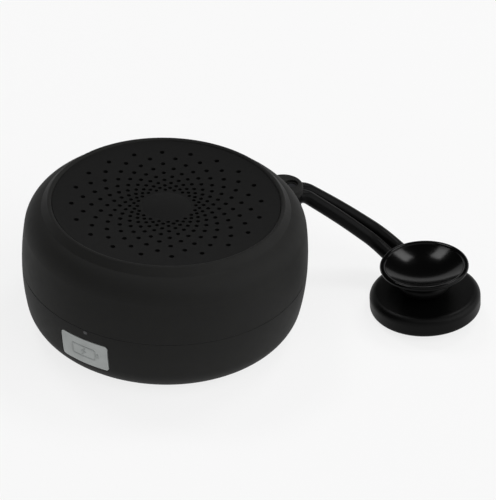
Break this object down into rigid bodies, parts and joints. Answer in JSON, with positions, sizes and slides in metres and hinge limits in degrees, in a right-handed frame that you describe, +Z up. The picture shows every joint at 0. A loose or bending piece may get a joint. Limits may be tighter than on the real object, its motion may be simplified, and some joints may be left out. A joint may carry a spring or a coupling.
{
  "type": "shower speaker",
  "caption": "Round waterproof speaker with a perforated dished top, a charging-port flap, side keys and a short silicone strap that holds a double suction cup.",
  "frame": {"origin": "middle of the foot pad's resting face", "axes": "+Z up through the grille, +X towards the suction cup's side, +Y away from the charging flap's side"},
  "size_m": [0.1393, 0.0852, 0.0412],
  "materials": {
    "shell": "soft-touch coat",
    "grille": "soft-touch coat",
    "flap": "matte moulded silicone",
    "silicone": "satin moulded silicone",
    "cup_rubber": "glossy moulded rubber",
    "foot_rubber": "matte",
    "seal": "matte",
    "key_rubber": "matte",
    "steel": "bright",
    "stamped_steel": "black zinc",
    "ferrite": "sintered",
    "copper": "enamelled winding",
    "cone": "pressed fibre",
    "spider": "phenolic cloth",
    "membrane": "fine mesh",
    "board": "solder mask",
    "chip": "moulded epoxy",
    "battery_wrap": "foil pouch",
    "tape": "foam tape",
    "clear": "clear moulding"
  },
  "bodies": {
    "case": {"amplifier_chip": "chip", "battery": "battery_wrap", "battery_pad": "tape", "battery_plug": "chip", "board_screws": "steel", "capacitor": "stamped_steel", "case_screws": "steel", "case_seal": "seal", "charging_socket": "steel", "driver_basket": "stamped_steel", "driver_gasket": "tape", "driver_magnet": "ferrite", "driver_screws": "steel", "driver_spider": "spider", "driver_surround": "seal", "driver_top_plate": "steel", "driver_yoke": "steel", "foot_pad": "foot_rubber", "grille_plate": "grille", "light_pipe": "clear", "lower_shell": "shell", "lug_pin": "stamped_steel", "main_board": "board", "mic_boot": "seal", "microphone": "steel", "radio_module": "steel", "splash_membrane": "membrane", "status_led": "clear", "tact_switches": "chip", "upper_shell": "shell"},
    "volume_down_key": {"key_volume_down": "key_rubber", "plunger_volume_down": "chip"},
    "power_key": {"key_power": "key_rubber", "plunger_power": "chip"},
    "volume_up_key": {"key_volume_up": "key_rubber", "plunger_volume_up": "chip"},
    "speaker_cone": {"driver_cone": "cone", "dust_cap": "cone", "voice_coil": "copper"},
    "flap": {"charging_flap": "flap"},
    "strap_end": {"strap_knuckle": "silicone"},
    "strap": {"strap_loop": "silicone"},
    "cup": {"suction_cup": "cup_rubber"}
  },
  "joints": [
    {"name": "volume_down_press", "type": "slide", "parent": "case", "child": "volume_down_key", "axis": [0.6428, -0.766, 0], "range_m": [0, 0.0005], "stiffness_N_per_m": 1500},
    {"name": "power_press", "type": "slide", "parent": "case", "child": "power_key", "axis": [0.866, -0.5, 0], "range_m": [0, 0.0005], "stiffness_N_per_m": 1500},
    {"name": "volume_up_press", "type": "slide", "parent": "case", "child": "volume_up_key", "axis": [0.9848, -0.1736, 0], "range_m": [0, 0.0005], "stiffness_N_per_m": 1500},
    {"name": "cone_stroke", "type": "slide", "parent": "case", "child": "speaker_cone", "axis": [0, 0, 1], "range_m": [-0.001, 0.001], "stiffness_N_per_m": 1500},
    {"name": "flap_hinge", "type": "hinge", "parent": "case", "child": "flap", "pos_m": [-0.02693, -0.03166, 0.0081], "axis": [0.0602, 0.1064, -0.9925], "range_deg": [0, 110]},
    {"name": "strap_swing", "type": "hinge", "parent": "case", "child": "strap_end", "pos_m": [0.0369, 0.0284, 0.02525], "axis": [0, 0, 1], "range_deg": [-33, 40]},
    {"name": "strap_bend", "type": "hinge", "parent": "strap_end", "child": "strap", "pos_m": [0.0458, 0.0321, 0.0229], "axis": [-0.083, -0.9965, 0], "range_deg": [-40, 75], "stiffness_Nm_per_rad": 0.02},
    {"name": "cup_spin", "type": "hinge", "parent": "strap", "child": "cup", "pos_m": [0.08, 0.0077, 0.00195], "axis": [-0.1191, 0.0298, 0.9924], "continuous": true}
  ]
}
